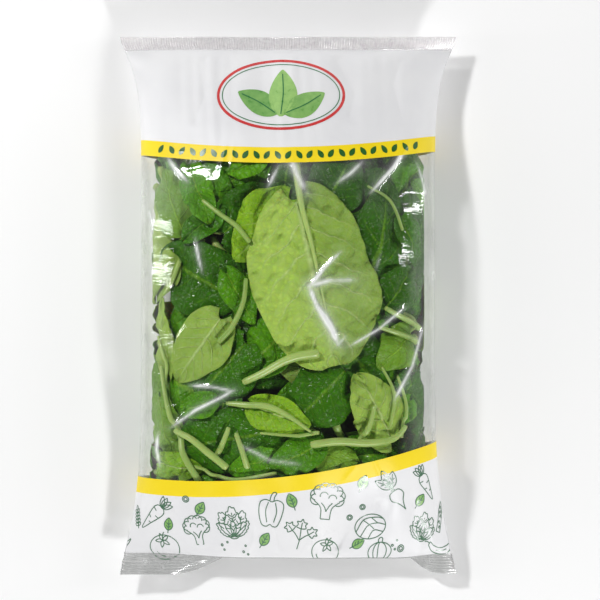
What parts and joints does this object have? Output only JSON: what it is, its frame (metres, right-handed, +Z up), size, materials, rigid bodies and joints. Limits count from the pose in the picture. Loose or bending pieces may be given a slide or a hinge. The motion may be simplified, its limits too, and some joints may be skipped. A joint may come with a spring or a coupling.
{
  "type": "bag of spinach",
  "caption": "Shut pillow bag of clear film packed with fresh spinach leaves, lying on its back, with a printed header and foot.",
  "frame": {"origin": "middle of the box's base, on the surface that the bag lies on", "axes": "+Z up through the printed front, +Y along the bag's length towards its top seal, X across its width"},
  "size_m": [0.2262, 0.362, 0.0759],
  "materials": {
    "film": "glossy clear packaging film with green leaves showing through it",
    "leaves": "fresh leaf, faintly waxy"
  },
  "bodies": {
    "root": {"spinach_bag": "film"}
  },
  "joints": []
}
